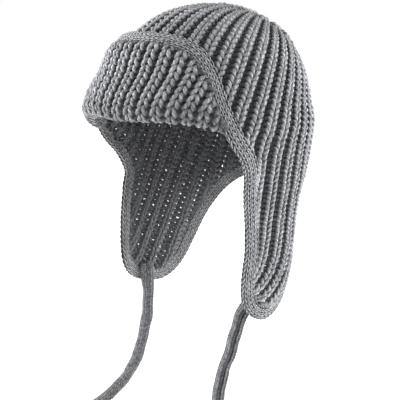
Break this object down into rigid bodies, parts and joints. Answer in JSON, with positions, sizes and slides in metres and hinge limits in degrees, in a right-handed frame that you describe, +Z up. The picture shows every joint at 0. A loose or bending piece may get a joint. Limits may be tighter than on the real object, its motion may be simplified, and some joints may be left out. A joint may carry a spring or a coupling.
{
  "type": "knitted trapper hat",
  "caption": "Ribbed knit hat with a turned-up front flap, long ear flaps with ties and a smooth knit band along every edge.",
  "frame": {"origin": "where the top of the head meets the inside of the crown, on the head's own vertical axis", "axes": "+Z up, the wearer faces -Y, the wearer's left is +X"},
  "size_m": [0.189, 0.2044, 0.3892],
  "materials": {
    "rib_knit": "soft matt wool, chunky rib",
    "smooth_knit": "soft matt wool, fine smooth knit"
  },
  "bodies": {
    "root": {"crown": "rib_knit", "front_flap": "rib_knit", "ear_flap_left": "rib_knit", "ear_flap_right": "rib_knit", "edge_band": "smooth_knit", "tie_left": "smooth_knit", "tie_right": "smooth_knit"}
  },
  "joints": []
}
